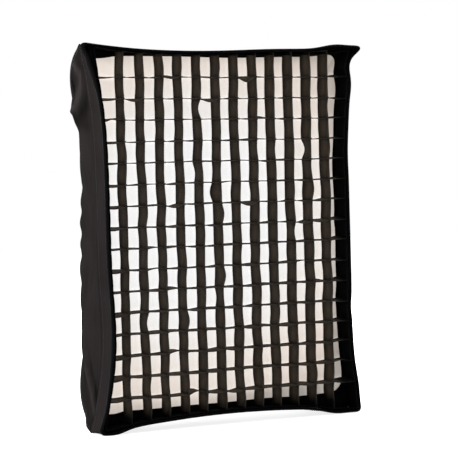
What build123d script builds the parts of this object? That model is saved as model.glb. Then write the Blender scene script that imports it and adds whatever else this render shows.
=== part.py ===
"""Rectangular softbox, 60 x 80 cm, with a recessed front diffuser, a fabric egg-crate grid and a
three-lug bayonet speedring.  Millimetres, +Z up.  The origin is the centre of the light bore at the
adapter's rear face; +Y points back towards the light, so the front of the softbox faces -Y.
"Depth" below is the distance forward from the origin, so depth = -y."""

import os
from math import asin, atan2, copysign, cos, degrees, hypot, radians, sin

from build123d import *

# ---------------------------------------------------------------- driving dimensions
RIM_HALF = Vector(314, 403)      # half width and half height of the rim, out to its corner ears
RIM_DIP = Vector(24, 17)         # how far the side edges and the top and bottom edges curve in
SHELL_REAR = Vector(27.5, 91)    # depth and radius of the shell's rear edge
SHELL_FRONT_DEPTH = 415
SHELL_FRONT_ANGLE = 15           # slope of the corner seams to the axis at the front, degrees
SHELL_CLOTH = 1.6                # nylon with its silver backing
BLEND_RADIUS = 420               # corner radius from the axis by which round has become rectangular
SHELL_SECTIONS = 9

LIP_DEPTH = 52                   # recessed skirt in front of the shell
LIP_CLOTH = 3.0
BINDING_DEPTH = 8
BINDING_PROUD = 1.5
TAPE = 1.0                       # loop tape inside the lip
SLIDE_GAP = 0.4                  # between the lip's tape and what pulls out past it

CELL = 44.5                      # grid pitch, both ways
COLUMNS, ROWS = 13, 17
WEB = 1.2                        # thickness of the grid's cloth strips
GRID_DEPTH = 41
GRID_REAR_DEPTH = 430
NOTCH_GAP = 0.3

ROD_RADIUS = 2.5
ROD_INSET = 18                   # rod centre line, inside the shell's corner seam
ROD_END_DEPTH = 400
FERRULE_RADIUS = 4.0
TIP_RADIUS = 4.6

RING_OUTER, RING_REAR_DEPTH, RING_LENGTH = 76, 12, 37
SEAT_RADIUS, SEAT_LENGTH = 72.05, 15
STOP_RADIUS, STOP_LENGTH = 64, 5
FRONT_BORE = 66
ADAPTER_RADIUS, BORE_RADIUS = 71.95, 49
CLAMP_DEPTH = 18.5               # plane of the three clamp screws
CLAMP_ANGLES = (90, 210, 330)
BAFFLE_DEPTH = 235

# ---------------------------------------------------------------- derived values
CORNER_ANGLE = atan2(RIM_HALF.Y, RIM_HALF.X)
ACROSS, UP = cos(CORNER_ANGLE), sin(CORNER_ANGLE)
FRONT_RADIUS = hypot(RIM_HALF.X, RIM_HALF.Y)
_run, _rise = SHELL_FRONT_DEPTH - SHELL_REAR.X, FRONT_RADIUS - SHELL_REAR.Y
SLOPE_FRONT = radians(SHELL_FRONT_ANGLE)
SLOPE_REAR = 2 * atan2(_rise, _run) - SLOPE_FRONT
SEAM_RADIUS = hypot(_run, _rise) / (2 * sin((SLOPE_REAR - SLOPE_FRONT) / 2))
ROD_ARC = SEAM_RADIUS - ROD_INSET
SEAM_CENTRE = Vector(SHELL_REAR.X + SEAM_RADIUS * sin(SLOPE_REAR),
                     SHELL_REAR.Y - SEAM_RADIUS * cos(SLOPE_REAR))
ROD_FRONT = asin((SEAM_CENTRE.X - ROD_END_DEPTH) / ROD_ARC)
QUADRANTS = {"top_right": (1, 1), "top_left": (-1, 1), "bottom_left": (-1, -1), "bottom_right": (1, -1)}
LIP_FRONT = SHELL_FRONT_DEPTH + LIP_DEPTH
SLIDING_INSET = LIP_CLOTH + TAPE + SLIDE_GAP


def facing(depth):
    """A plane across the axis at that depth: local x is X, local y is Z, and extrude goes forward."""
    return Plane(origin=(0, -depth, 0), x_dir=(1, 0, 0), z_dir=(0, -1, 0))


def slope_at(depth):
    """Slope of the corner seam to the axis, in radians, at a depth."""
    return asin(sin(SLOPE_REAR) - (depth - SHELL_REAR.X) / SEAM_RADIUS)


def seam_point(slope, radius=SEAM_RADIUS):
    """(depth, distance from the axis) of the corner seam, or of an arc concentric with it."""
    return SEAM_CENTRE.X - radius * sin(slope), SEAM_CENTRE.Y + radius * cos(slope)


def in_corner(depth, reach, quadrant):
    """The point at a depth and a distance from the axis in one of the four corner planes."""
    x, z = QUADRANTS[quadrant]
    return Vector(x * reach * ACROSS, -depth, z * reach * UP)


def bulge(reach, share, dip):
    """How far a section's side stands out of the straight line between its corners."""
    w = min(1, max(0, (reach - SHELL_REAR.Y) / (BLEND_RADIUS - SHELL_REAR.Y)))
    w = w * w * (3 - 2 * w)
    return (1 - w) * reach * (1 - share) - w * dip


def export(part, name):
    """Labels a finished piece and writes it as its own STEP file."""
    shape = part.part
    shape.label = name
    export_step(shape, f"parts/{name}.step")


# ---------------------------------------------------------------- profiles
def side_strip(side, outer, inner):
    """One side of a four-sided frame, mitred at its corners.  outer and inner are each
    (corner x, corner z, middle x, middle z); the two long edges are parabolas."""
    turned = side in ("top", "bottom")
    sign = -1 if side in ("left", "bottom") else 1

    def place(along, out):
        return (along, sign * out) if turned else (sign * out, along)

    with BuildLine() as line:
        ends = []
        for cx, cz, mx, mz in (outer, inner):
            half, far, mid = (cx, cz, mz) if turned else (cz, cx, mx)
            a, b = place(-half, far), place(half, far)
            Bezier(a, place(0, 2 * mid - far), b)
            ends.append((a, b))
        Line(ends[0][0], ends[1][0])
        Line(ends[0][1], ends[1][1])
    make_face(line.edges())


def rim(inset, dip=RIM_DIP, half=RIM_HALF):
    """Corner and middle of the rim's outline, moved in by inset."""
    return half.X - inset, half.Y - inset, half.X - dip.X - inset, half.Y - dip.Y - inset


def rim_face(inset, dip=RIM_DIP, half=RIM_HALF, mode=Mode.ADD):
    """The whole area inside the rim's outline moved in by inset."""
    cx, cz, mx, mz = rim(inset, dip, half)
    with BuildLine() as line:
        Bezier((-cx, cz), (0, 2 * mz - cz), (cx, cz))
        Bezier((cx, cz), (2 * mx - cx, 0), (cx, -cz))
        Bezier((cx, -cz), (0, cz - 2 * mz), (-cx, -cz))
        Bezier((-cx, -cz), (cx - 2 * mx, 0), (-cx, cz))
    make_face(line.edges(), mode=mode)


def rim_ring(name, outer, inner, *spans):
    """A closed band between two insets of the rim's outline, over each (rear, front) depth span."""
    with BuildPart() as band:
        for rear, front in spans:
            with BuildSketch(facing(rear)):
                rim_face(outer)
                rim_face(inner, mode=Mode.SUBTRACT)
            extrude(amount=front - rear)
    export(band, name)


def shell_section(reach, slope, *layers):
    """Outlines, in the section where the corners are at that reach, of layers that far off the shell."""
    outlines = []
    for off in layers:
        grow = off / cos(slope) * 2 / (ACROSS + UP)
        cx, cz = (reach + grow) * ACROSS, (reach + grow) * UP
        outlines.append((cx, cz, cx + bulge(reach, ACROSS, RIM_DIP.X), cz + bulge(reach, UP, RIM_DIP.Y)))
    return outlines


# ---------------------------------------------------------------- shell and lip
VENT_HALF_WIDTH, VENT_LOW, VENT_HIGH = 40, 130, 166
FLAP_HALF_WIDTH, FLAP_LOW, FLAP_HIGH = 55, 120, 184
FLAP_LIFT, FLAP_CLOTH = 0.8, 1.2


def shell_panel(side, inner=-SHELL_CLOTH, outer=0):
    """A trapezoid of cloth between two corner seams, bowed out along its depth."""
    with BuildPart() as panel:
        for i in range(SHELL_SECTIONS):
            slope = SLOPE_REAR + (SLOPE_FRONT - SLOPE_REAR) * i / (SHELL_SECTIONS - 1)
            depth, reach = seam_point(slope)
            with BuildSketch(facing(depth)):
                side_strip(side, *shell_section(reach, slope, outer, inner))
        loft()
    return panel


def window(sign, half_width, low, high, mode=Mode.INTERSECT):
    """A block through the top or bottom panel, between two heights above the axis."""
    with Locations((0, -60, sign * (low + high) / 2)):
        Box(2 * half_width, 110, high - low, mode=mode)


def shell():
    for side in ("left", "right"):
        export(shell_panel(side), f"shell_{side}")
    for side, sign in (("top", 1), ("bottom", -1)):
        with BuildPart() as panel:
            add(shell_panel(side).part)
            window(sign, VENT_HALF_WIDTH, VENT_LOW, VENT_HIGH, Mode.SUBTRACT)
        export(panel, f"shell_{side}")
        with BuildPart() as mesh:
            add(shell_panel(side).part)
            window(sign, VENT_HALF_WIDTH, VENT_LOW, VENT_HIGH)
        export(mesh, f"vent_mesh_{side}")
        with BuildPart() as flap:
            add(shell_panel(side, FLAP_LIFT, FLAP_LIFT + FLAP_CLOTH).part)
            window(sign, FLAP_HALF_WIDTH, FLAP_LOW, FLAP_HIGH)
        export(flap, f"vent_flap_{side}")
        edge = flap.part.bounding_box()
        print(f"vent_flap_{side} front edge at y {edge.min.Y:.2f}, z {edge.min.Z:.2f} to {edge.max.Z:.2f}")


def lip():
    """The recessed skirt: four cloth strips, the bound front edge and the loop tapes inside."""
    for side in ("left", "right", "top", "bottom"):
        with BuildPart() as strip:
            with BuildSketch(facing(SHELL_FRONT_DEPTH)):
                side_strip(side, rim(0), rim(LIP_CLOTH))
            extrude(amount=LIP_DEPTH)
        export(strip, f"lip_{side}")
    rim_ring("lip_binding", -BINDING_PROUD, LIP_CLOTH + TAPE, (LIP_FRONT, LIP_FRONT + BINDING_DEPTH))
    rim_ring("lip_loop_tape", LIP_CLOTH, LIP_CLOTH + TAPE, (417, 427), (440, LIP_FRONT))


def rear_collar():
    """Elasticated cloth washer that closes the shell round the speedring."""
    with BuildPart() as collar:
        with BuildSketch(facing(SHELL_REAR.X - 2)):
            Circle(SHELL_REAR.Y)
            Circle(RING_OUTER + 0.3, mode=Mode.SUBTRACT)
        extrude(amount=2)
    export(collar, "rear_collar")


# ---------------------------------------------------------------- front layers
def diffuser():
    with BuildPart() as cloth:
        with BuildSketch(facing(421)):
            rim_face(SLIDING_INSET)
        extrude(amount=1)
    export(cloth, "front_diffuser")
    rim_ring("diffuser_border", SLIDING_INSET, SLIDING_INSET + 20, (418, 421))


def grid():
    """The egg-crate: a border band, and strips that halve into each other at every crossing."""
    band = SLIDING_INSET + WEB
    rim_ring("grid_border", SLIDING_INSET, band, (GRID_REAR_DEPTH, GRID_REAR_DEPTH + GRID_DEPTH))
    cx, cz, mx, mz = rim(band + 0.2)
    middle = -(GRID_REAR_DEPTH + GRID_DEPTH / 2)
    notch, half = WEB + 2 * NOTCH_GAP, GRID_DEPTH / 2 + NOTCH_GAP
    xs = [(k - COLUMNS / 2) * CELL for k in range(1, COLUMNS)]
    zs = [(k - ROWS / 2) * CELL for k in range(1, ROWS)]
    with BuildPart() as columns:
        for x in xs:
            with Locations((x, middle, 0)):
                Box(WEB, GRID_DEPTH, 2 * (mz + (cz - mz) * (x / cx) ** 2))
        for z in zs:
            with Locations((0, middle + GRID_DEPTH / 2, z)):
                Box(2 * cx, 2 * half, notch, mode=Mode.SUBTRACT)
    export(columns, "grid_columns")
    with BuildPart() as rows:
        for z in zs:
            with Locations((0, middle, z)):
                Box(2 * (mx + (cx - mx) * (z / cz) ** 2), GRID_DEPTH, WEB)
        for x in xs:
            with Locations((x, middle - GRID_DEPTH / 2, 0)):
                Box(notch, 2 * half, 2 * cz, mode=Mode.SUBTRACT)
    export(rows, "grid_rows")


BAFFLE_CORNER_REACH, BAFFLE_BORDER = 388, 18
BAFFLE_DIP = Vector(14, 12)
STRAP_WIDTH, STRAP_CLOTH = 20, 1.5


def baffle():
    """The inner diffuser: a cloth panel with a bound border, hung from the shell on eight straps."""
    half = Vector(BAFFLE_CORNER_REACH * ACROSS, BAFFLE_CORNER_REACH * UP)
    with BuildPart() as cloth:
        with BuildSketch(facing(BAFFLE_DEPTH)):
            rim_face(0, BAFFLE_DIP, half)
        extrude(amount=1)
    export(cloth, "inner_baffle")
    with BuildPart() as border:
        with BuildSketch(facing(BAFFLE_DEPTH + 1)):
            rim_face(0, BAFFLE_DIP, half)
            rim_face(BAFFLE_BORDER, BAFFLE_DIP, half, mode=Mode.SUBTRACT)
        extrude(amount=1.5)
    export(border, "baffle_border")

    slope = slope_at(BAFFLE_DEPTH)
    reach = seam_point(slope)[1]
    cx, cz, mx, mz = shell_section(reach, slope, -SHELL_CLOTH)[0]
    bx, bz, nx, nz = rim(0, BAFFLE_DIP, half)
    gap = 4                      # the shell closes in a little towards the straps' rear face
    straps = []
    for sign in (-1, 1):
        for at in (-0.45, 0.45):
            out_x = mx + (cx - mx) * at ** 2 - gap
            out_z = mz + (cz - mz) * at ** 2 - gap
            in_x, in_z = nx - BAFFLE_BORDER / 2, nz - BAFFLE_BORDER / 2
            straps.append((sign * (out_x + in_x) / 2, at * bz, out_x - in_x, STRAP_WIDTH))
            straps.append((at * bx, sign * (out_z + in_z) / 2, STRAP_WIDTH, out_z - in_z))
    with BuildPart() as strap:
        for x, z, wide, high in straps:
            with BuildSketch(facing(BAFFLE_DEPTH + 2.5)):
                with Locations((x, z)):
                    RectangleRounded(wide, high, 3)
            extrude(amount=STRAP_CLOTH)
    export(strap, "baffle_straps")
    with BuildPart() as snaps:
        with BuildSketch(facing(BAFFLE_DEPTH + 2.5 + STRAP_CLOTH)):
            for x, z, wide, high in straps:
                sideways = wide != STRAP_WIDTH
                inward = Vector(copysign(1, -x), 0) if sideways else Vector(0, copysign(1, -z))
                with Locations(Vector(x, z) + inward * (max(wide, high) / 2 - 9)):
                    Circle(6)
        extrude(amount=2.2)
        chamfer(snaps.faces().sort_by(Axis.Y)[:8].edges(), 0.8)
    export(snaps, "baffle_snaps")


# ---------------------------------------------------------------- rods
def rod_plane(quadrant, slope):
    """A plane whose origin is on the rod's centre line and whose normal runs forward along it."""
    depth, reach = seam_point(slope, ROD_ARC)
    x, z = QUADRANTS[quadrant]
    forward = Vector(x * sin(slope) * ACROSS, -cos(slope), z * sin(slope) * UP)
    sideways = Vector(-z * UP, 0, x * ACROSS)
    return Plane(origin=in_corner(depth, reach, quadrant), x_dir=sideways, z_dir=forward)


def rod_arc(quadrant, rear, front):
    """The rod's centre line between two slopes."""
    points = [in_corner(*seam_point(s, ROD_ARC), quadrant) for s in (rear, (rear + front) / 2, front)]
    return ThreePointArc(*points)


def tube_on_rod(name, quadrant, rear, front, outer, inner=None):
    """A bar, or a sleeve if inner is given, along part of the rod's arc."""
    with BuildPart() as piece:
        with BuildLine():
            path = rod_arc(quadrant, rear, front)
        with BuildSketch(rod_plane(quadrant, rear)):
            Circle(outer)
            if inner:
                Circle(inner, mode=Mode.SUBTRACT)
        sweep(path=path)
    export(piece, name)


def rods():
    """Four spring-steel rods, each with a ferrule in its socket and a soft tip in its corner pocket."""
    ferrule_end = SLOPE_REAR - 30 / ROD_ARC
    tip_start = ROD_FRONT + 16 / ROD_ARC
    for q in QUADRANTS:
        tube_on_rod(f"rod_{q}", q, SLOPE_REAR, ROD_FRONT, ROD_RADIUS)
        tube_on_rod(f"rod_ferrule_{q}", q, SLOPE_REAR, ferrule_end, FERRULE_RADIUS, ROD_RADIUS)
        with BuildPart() as tip:
            with BuildLine():
                path = rod_arc(q, tip_start, ROD_FRONT)
            with BuildSketch(rod_plane(q, tip_start)):
                Circle(TIP_RADIUS)
                Circle(ROD_RADIUS, mode=Mode.SUBTRACT)
            sweep(path=path)
            with BuildSketch(rod_plane(q, ROD_FRONT)):
                Circle(TIP_RADIUS)
            extrude(amount=4)
            fillet(tip.edges().filter_by(GeomType.CIRCLE).sort_by(Axis.Y)[0], 2.5)
        export(tip, f"rod_tip_{q}")


def corner_pockets():
    """Reinforced cups, sewn into the shell's front corners, that the rods' tips push into."""
    for q in QUADRANTS:
        mouth = rod_plane(q, ROD_FRONT).offset(-13)
        with BuildPart() as pocket:
            with BuildSketch(mouth):
                Circle(7)
            extrude(amount=20)
            with BuildSketch(mouth):
                Circle(TIP_RADIUS + 0.6)
            extrude(amount=18, mode=Mode.SUBTRACT)
            with BuildSketch(mouth):
                with Locations((0, -9.5 * QUADRANTS[q][0] * QUADRANTS[q][1])):
                    Rectangle(3, 7)
            extrude(amount=20)
        export(pocket, f"corner_pocket_{q}")


# ---------------------------------------------------------------- speedring
FOOT_WIDTH, FOOT_LENGTH, FOOT_THICK, PAD_RADIUS = 36, 14, 4, 78
SCREW_SPREAD, SCREW_RADIUS, SCREW_HEAD = 13, 2.0, 3.6
FOOT_DEPTH = 41


def foot_plane(quadrant, reach):
    """A plane at that distance from the axis, facing out along a corner direction."""
    x, z = QUADRANTS[quadrant]
    return Plane(origin=in_corner(FOOT_DEPTH, reach, quadrant), x_dir=(-z * UP, 0, x * ACROSS),
                 z_dir=(x * ACROSS, 0, z * UP))


def clamp_plane(angle, reach):
    """A plane at that distance from the axis, facing out along a clamp screw."""
    out = Vector(cos(radians(angle)), 0, sin(radians(angle)))
    return Plane(origin=(reach * out.X, -CLAMP_DEPTH, reach * out.Z), x_dir=(0, 1, 0), z_dir=out)


def speedring_body():
    with BuildPart() as ring:
        with BuildSketch(facing(RING_REAR_DEPTH)):
            Circle(RING_OUTER)
        extrude(amount=RING_LENGTH)
        chamfer(ring.edges().filter_by(GeomType.CIRCLE), 0.8)
        for angle in CLAMP_ANGLES:
            with BuildSketch(clamp_plane(angle, 70)):
                Circle(5.5)
            extrude(amount=12)
        for q in QUADRANTS:
            with BuildSketch(foot_plane(q, 68)):
                Rectangle(FOOT_WIDTH + 2, FOOT_LENGTH + 2)
            extrude(amount=PAD_RADIUS - 68)
        with BuildSketch(facing(RING_REAR_DEPTH)):
            Circle(SEAT_RADIUS)
        extrude(amount=SEAT_LENGTH, mode=Mode.SUBTRACT)
        with BuildSketch(facing(RING_REAR_DEPTH + SEAT_LENGTH)):
            Circle(STOP_RADIUS)
        extrude(amount=STOP_LENGTH, mode=Mode.SUBTRACT)
        with BuildSketch(facing(RING_REAR_DEPTH + SEAT_LENGTH + STOP_LENGTH)):
            Circle(FRONT_BORE)
        extrude(amount=RING_LENGTH, mode=Mode.SUBTRACT)
        for angle in CLAMP_ANGLES:
            with BuildSketch(clamp_plane(angle, 60)):
                Circle(3.05)
            extrude(amount=40, mode=Mode.SUBTRACT)
        for q in QUADRANTS:
            with BuildSketch(foot_plane(q, 69)):
                with Locations((-SCREW_SPREAD, 0), (SCREW_SPREAD, 0)):
                    Circle(SCREW_RADIUS + 0.05)
            extrude(amount=20, mode=Mode.SUBTRACT)
    export(ring, "speedring_body")


def rod_sockets():
    """Cast sockets that hold the rods' ferrules, each on a foot screwed to the ring."""
    with BuildPart() as screws:
        for q in QUADRANTS:
            with BuildSketch(foot_plane(q, 69.5)):
                with Locations((-SCREW_SPREAD, 0), (SCREW_SPREAD, 0)):
                    Circle(SCREW_RADIUS)
            extrude(amount=PAD_RADIUS + FOOT_THICK - 69.5)
            with BuildSketch(foot_plane(q, PAD_RADIUS + FOOT_THICK)):
                with Locations((-SCREW_SPREAD, 0), (SCREW_SPREAD, 0)):
                    Circle(SCREW_HEAD)
            extrude(amount=2.4)
            with BuildSketch(foot_plane(q, PAD_RADIUS + FOOT_THICK + 1.2)):
                with Locations((-SCREW_SPREAD, 0), (SCREW_SPREAD, 0)):
                    RegularPolygon(1.6, 6)
            extrude(amount=2, mode=Mode.SUBTRACT)
    export(screws, "socket_screws")
    for q in QUADRANTS:
        start = rod_plane(q, SLOPE_REAR)
        with BuildPart() as socket:
            with BuildSketch(start.offset(-6.5)):
                Circle(7.2)
            extrude(amount=34)
            with BuildSketch(foot_plane(q, PAD_RADIUS)):
                RectangleRounded(FOOT_WIDTH, FOOT_LENGTH, 3)
            extrude(amount=FOOT_THICK)
            with BuildSketch(foot_plane(q, PAD_RADIUS - 20)):
                Rectangle(2 * FOOT_WIDTH, 4 * FOOT_LENGTH)
            extrude(amount=20, mode=Mode.SUBTRACT)
            with BuildSketch(start.offset(-0.5)):
                Circle(FERRULE_RADIUS + 0.9)
            extrude(amount=40, mode=Mode.SUBTRACT)
            with BuildSketch(foot_plane(q, PAD_RADIUS)):
                with Locations((-SCREW_SPREAD, 0), (SCREW_SPREAD, 0)):
                    Circle(SCREW_RADIUS + 0.05)
            extrude(amount=FOOT_THICK, mode=Mode.SUBTRACT)
        export(socket, f"rod_socket_{q}")


LUG_RADIUS, LUG_THICK, LUG_SPREAD = 57.5, 3.2, 36
COLLAR_RADIUS, DISC_REAR, DISC_FRONT = 52, 13, 26.8
GROOVE_HALF, GROOVE_RADIUS = 2.7, 69.6


def mount_adapter():
    """The insert that fastens to the light: a bored disc held by the clamps, and its collar."""
    with BuildPart() as disc:
        with BuildSketch(facing(DISC_REAR)):
            Circle(ADAPTER_RADIUS)
            Circle(BORE_RADIUS, mode=Mode.SUBTRACT)
        extrude(amount=DISC_FRONT - DISC_REAR)
        with BuildSketch(facing(CLAMP_DEPTH - GROOVE_HALF)):
            Circle(ADAPTER_RADIUS + 2)
            Circle(GROOVE_RADIUS, mode=Mode.SUBTRACT)
        extrude(amount=2 * GROOVE_HALF, mode=Mode.SUBTRACT)
    export(disc, "adapter_disc")
    with BuildPart() as collar:
        with BuildSketch(facing(0)):
            Circle(COLLAR_RADIUS)
            Circle(BORE_RADIUS, mode=Mode.SUBTRACT)
        extrude(amount=DISC_REAR)
    export(collar, "adapter_collar")


def bayonet_lugs():
    """Three lugs on the collar's rear rim, which turn behind the light's bayonet ring."""
    with BuildPart() as lugs:
        with BuildSketch(facing(0)):
            for angle in (30, 150, 270):
                low = angle - LUG_SPREAD / 2
                with BuildLine():
                    CenterArc((0, 0), LUG_RADIUS, low, LUG_SPREAD)
                    CenterArc((0, 0), COLLAR_RADIUS, low, LUG_SPREAD)
                    for a in (low, low + LUG_SPREAD):
                        along = Vector(1, 0).rotate(Axis.Z, a)
                        Line(along * COLLAR_RADIUS, along * LUG_RADIUS)
                make_face()
        extrude(amount=LUG_THICK)
    export(lugs, "bayonet_lugs")


KNOB_RADIUS, KNOB_INNER, KNOB_OUTER, KNOB_FLUTES = 6.3, 84.5, 97, 10


def clamp_screws():
    """Three thumbscrews; each turns in the ring and pushes a pad into the adapter's groove."""
    for n, angle in enumerate(CLAMP_ANGLES, 1):
        with BuildPart() as pad:
            with BuildSketch(clamp_plane(angle, 70)):
                Circle(2.4)
            extrude(amount=3.6)
        export(pad, f"clamp_pad_{n}")
        with BuildPart() as knob:
            with BuildSketch(clamp_plane(angle, 73.8)):
                Circle(2.9)
            extrude(amount=KNOB_INNER - 73.8)
            with BuildSketch(clamp_plane(angle, KNOB_INNER)):
                Circle(KNOB_RADIUS)
                with PolarLocations(KNOB_RADIUS + 0.5, KNOB_FLUTES):
                    Circle(1.1, mode=Mode.SUBTRACT)
            extrude(amount=KNOB_OUTER - KNOB_INNER)
        export(knob, f"clamp_knob_{n}")


os.makedirs("parts", exist_ok=True)
shell()
lip()
rear_collar()
diffuser()
grid()
baffle()
rods()
corner_pockets()
speedring_body()
rod_sockets()
mount_adapter()
bayonet_lugs()
clamp_screws()
print(f"seam arc {SEAM_RADIUS:.1f} mm, slope {degrees(SLOPE_REAR):.1f} degrees at the rear")
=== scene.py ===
import math

import bmesh
import bpy
import numpy as np
from mathutils import Matrix, Vector


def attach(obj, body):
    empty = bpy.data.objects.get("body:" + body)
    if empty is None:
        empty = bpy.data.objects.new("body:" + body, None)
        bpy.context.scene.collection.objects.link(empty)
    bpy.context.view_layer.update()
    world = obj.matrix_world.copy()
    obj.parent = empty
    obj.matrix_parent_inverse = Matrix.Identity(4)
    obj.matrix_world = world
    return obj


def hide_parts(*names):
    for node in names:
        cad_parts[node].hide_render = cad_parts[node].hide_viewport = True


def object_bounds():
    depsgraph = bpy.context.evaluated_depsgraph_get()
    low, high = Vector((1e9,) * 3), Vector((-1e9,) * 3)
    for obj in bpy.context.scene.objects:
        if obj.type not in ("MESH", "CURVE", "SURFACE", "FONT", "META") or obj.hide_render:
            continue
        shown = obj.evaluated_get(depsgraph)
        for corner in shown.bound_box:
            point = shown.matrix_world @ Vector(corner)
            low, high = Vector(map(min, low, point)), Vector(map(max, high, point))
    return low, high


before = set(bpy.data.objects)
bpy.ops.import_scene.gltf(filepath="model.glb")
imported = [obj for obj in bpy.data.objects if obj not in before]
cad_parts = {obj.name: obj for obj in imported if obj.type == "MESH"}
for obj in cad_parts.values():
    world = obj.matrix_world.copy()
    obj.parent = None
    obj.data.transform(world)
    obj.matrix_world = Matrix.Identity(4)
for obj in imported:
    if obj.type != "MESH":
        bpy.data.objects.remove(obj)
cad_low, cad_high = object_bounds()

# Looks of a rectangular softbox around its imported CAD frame.  Metres, the CAD's own frame: +Z up, the light behind
# at +Y, and "depth" is the distance forward from the adapter's rear face, so depth = -y.

# ------------------------------------------------------------------ sizes shared with the CAD source
RIM = np.array([0.314, 0.403])            # half width and half height at the corners
DIP = np.array([0.024, 0.017])            # how far the sides and the top and bottom curve in
ACROSS, UP = RIM / np.hypot(*RIM)
REAR_DEPTH, REAR_REACH = 0.0275, 0.091
SHELL_END, LIP_END, HEM_END = 0.415, 0.467, 0.475
BLEND_REACH = 0.420
SLOPE_FRONT = math.radians(15)
RUN, RISE = SHELL_END - REAR_DEPTH, np.hypot(*RIM) - REAR_REACH
SLOPE_REAR = 2 * math.atan2(RISE, RUN) - SLOPE_FRONT
SEAM_RADIUS = math.hypot(RUN, RISE) / (2 * math.sin((SLOPE_REAR - SLOPE_FRONT) / 2))
SEAM_DEPTH = REAR_DEPTH + SEAM_RADIUS * math.sin(SLOPE_REAR)
SEAM_REACH = REAR_REACH - SEAM_RADIUS * math.cos(SLOPE_REAR)
SLIDING_INSET = 0.0044
CELL, COLUMNS, ROWS = 0.0445, 13, 17
GRID_REAR, GRID_FRONT = 0.430, 0.471
BAFFLE_DEPTH, BAFFLE_REACH = 0.235, 0.388
BAFFLE_DIP = np.array([0.014, 0.012])
QUADRANTS = {"top_right": (1, 1), "top_left": (-1, 1), "bottom_left": (-1, -1), "bottom_right": (1, -1)}
LOOP_SIDES = ("top", "right", "bottom", "left")
HEM_CORNER, TAPE_CORNER = 0.018, 0.006    # how far from its corners the hem, and the tapes inside it, are rounded off
RIM_LENGTH = 2.8                          # about the length round the front, for noise along it
TACK_RADIUS = 0.0005
VENT_FOLDS = 0.6                          # how much of the panel's folds the vents' cloth follows
CLOTH = {"panel": 0.0012, "lip": 0.0028, "diffuser": 0.0008, "grid_border": 0.0012, "baffle": 0.0008,
         "collar": 0.0014, "vent_tape": 0.0008, "flap": 0.0011}               # thicknesses as drawn


def smooth(t):
    t = np.clip(t, 0, 1)
    return t * t * (3 - 2 * t)


def hump(t, centre, width):
    return np.exp(-(((t - centre) / width) ** 2))


def window(t, start, rise, end, fall):
    """1 from start to end, fading in over rise and out over fall."""
    return smooth((t - start) / rise) * (1 - smooth((t - end) / fall))


def noise(x, y, seed, size, waves=7):
    """Smooth seeded noise, about -1 to 1, with features of that size."""
    rng = np.random.default_rng(seed)
    total = 0
    for _ in range(waves):
        angle, length, phase = rng.uniform(0, math.tau), size * rng.uniform(1.2, 3.2), rng.uniform(0, math.tau)
        total = total + np.sin((x * math.cos(angle) + y * math.sin(angle)) * math.tau / length + phase)
    return total / math.sqrt(waves * 2)


def at_depth(loop, depth):
    """(x, z) points as points in space at that depth."""
    return np.stack([loop[..., 0], np.broadcast_to(-np.asarray(depth, float), loop.shape[:-1]), loop[..., 1]], -1)


# ------------------------------------------------------------------ the cover's shape
def outline(depth):
    """Corner x, corner z, middle x, middle z of the cover's section at a depth."""
    d = np.minimum(depth, SHELL_END)
    slope = np.arcsin(np.clip(math.sin(SLOPE_REAR) - (d - REAR_DEPTH) / SEAM_RADIUS, -1, 1))
    reach = SEAM_REACH + SEAM_RADIUS * np.cos(slope)
    w = smooth((reach - REAR_REACH) / (BLEND_REACH - REAR_REACH))
    cx, cz = reach * ACROSS, reach * UP
    return cx, cz, cx + (1 - w) * reach * (1 - ACROSS) - w * DIP[0], cz + (1 - w) * reach * (1 - UP) - w * DIP[1]


SIDE_FROM, END_FROM, NEAR = 0.255, 0.345, 0.030        # where the sides, and the top and bottom, begin
# the right side's waves: how high, how wide, and how far out
RIGHT_WAVES = ((-0.020, 0.170, 0.0025), (0.358, 0.024, -0.0060), (0.310, 0.025, 0.0020), (0.165, 0.050, -0.0020),
               (-0.170, 0.020, -0.0025), (-0.335, 0.040, 0.0030))


def near_side(x):
    return smooth((x - SIDE_FROM) / NEAR)


def near_end(z):
    return smooth((z - END_FROM) / NEAR)


def pull(x, z, depth):
    """How the stretched cloth of the front moves the rim: in at the lower left and the bottom, with waves elsewhere."""
    f = smooth((depth - 0.380) / 0.040)
    x = x + f * 0.010 * hump(z, -0.225, 0.115) * near_side(-x)
    z = z + f * 0.006 * hump(x, -0.010, 0.170) * near_end(-z)
    z = z + f * 0.005 * hump(x, 0.120, 0.120) * near_end(z)
    x = x - f * 0.005 * hump(z, 0.350, 0.085) * near_side(-x)
    x = x + f * near_side(x) * sum(out * hump(z, height, width) for height, width, out in RIGHT_WAVES)
    z = z - f * 0.005 * hump(x, 0.248, 0.045) * near_end(-z)
    return x, z


def skin(side, u, depth, inset=0.0):
    """Points of the cover, u running from -1 to 1 along a side, moved in by inset within the section."""
    u, depth = np.broadcast_arrays(np.asarray(u, float), np.asarray(depth, float))
    cx, cz, mx, mz = (v - inset for v in outline(depth))
    straight = 0.75 * smooth((depth - 0.33) / 0.085)
    share = (1 - straight) * u**2 + straight * u**4
    sign = -1 if side in ("left", "bottom") else 1
    if side in ("top", "bottom"):
        x, z = cx * u, sign * (mz + (cz - mz) * share)
    else:
        x, z = sign * (mx + (cx - mx) * share), cz * u
    x, z = pull(x, z, depth)
    # the cloth hangs slack at the bottom left corner, behind the rod's tip
    slack = window(depth, 0.10, 0.10, 0.345, 0.040) * hump(np.hypot(x + cx, z + cz), 0, 0.085)
    return np.stack([x + 0.0048 * slack, -depth, z + 0.0098 * slack], -1)


def spread(n):
    """n places from -1 to 1, closer together near the ends."""
    t = np.linspace(-1, 1, n)
    return 0.5 * t + 0.5 * np.sin(t * math.pi / 2)


def normals_of(grid, closed=False):
    """Unit normals of a grid of points."""
    if closed:
        along = np.roll(grid, -1, 1) - np.roll(grid, 1, 1)
    else:
        along = np.gradient(grid, axis=1)
    n = np.cross(np.gradient(grid, axis=0), along)
    return n / np.maximum(np.linalg.norm(n, axis=-1, keepdims=True), 1e-12)


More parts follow.
